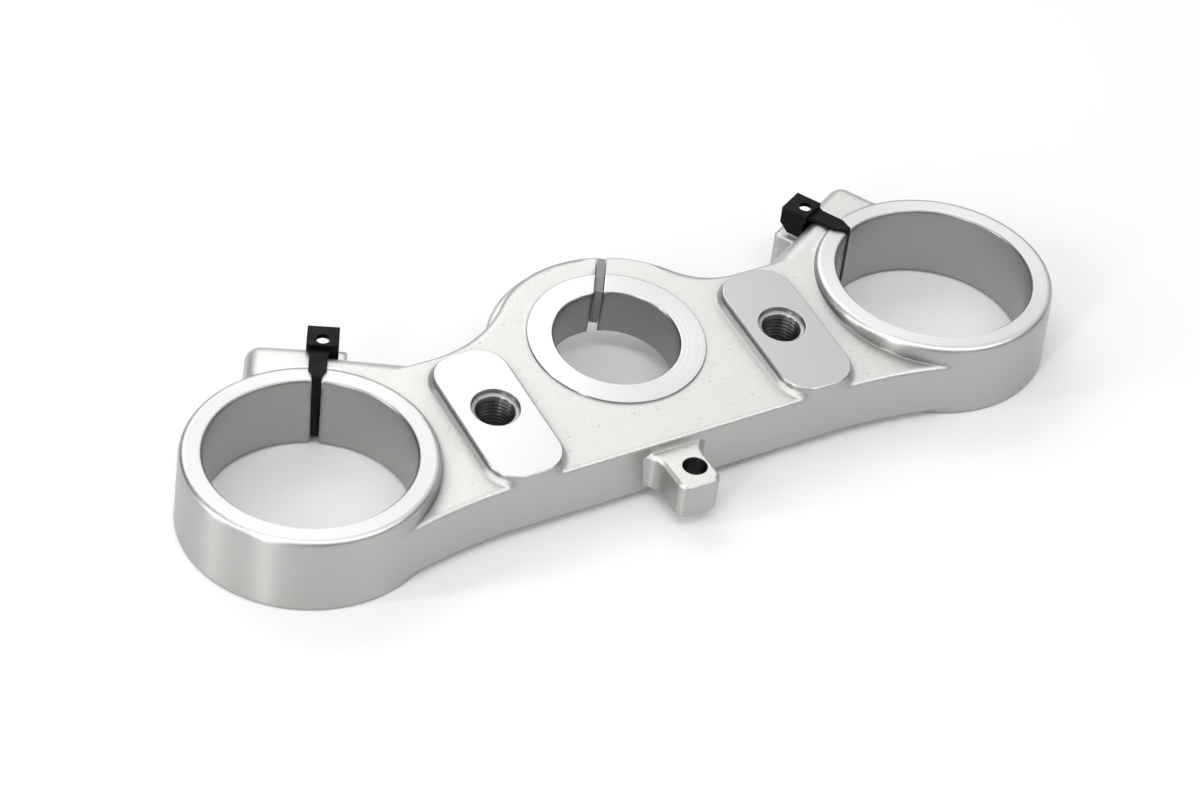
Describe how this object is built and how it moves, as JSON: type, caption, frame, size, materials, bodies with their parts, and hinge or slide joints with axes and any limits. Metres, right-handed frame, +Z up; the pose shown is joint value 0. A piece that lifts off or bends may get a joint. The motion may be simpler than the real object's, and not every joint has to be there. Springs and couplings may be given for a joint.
{
  "type": "motorcycle triple clamp",
  "caption": "upper triple clamp of a motorcycle: slotted fork rings and a steering stem clamp in one aluminium casting, with raised handlebar pads and a front lug",
  "frame": {"origin": "on the steering stem's axis at the top of the cast web, half a millimetre under the spot face", "axes": "+X along the fork spacing, to the right as the picture shows it; +Y to the rear, where the slots are; +Z up, along the fork tubes"},
  "size_m": [0.2554, 0.0882, 0.024],
  "materials": {
    "cast_aluminium": "satin cast and brushed aluminium with turned faces",
    "black_plastic": "matt moulded black",
    "grey_plastic": "matt moulded grey"
  },
  "bodies": {
    "root": {"yoke": "cast_aluminium", "left_slot_insert": "black_plastic", "right_slot_insert": "black_plastic", "stem_slot_insert": "grey_plastic"}
  },
  "joints": []
}
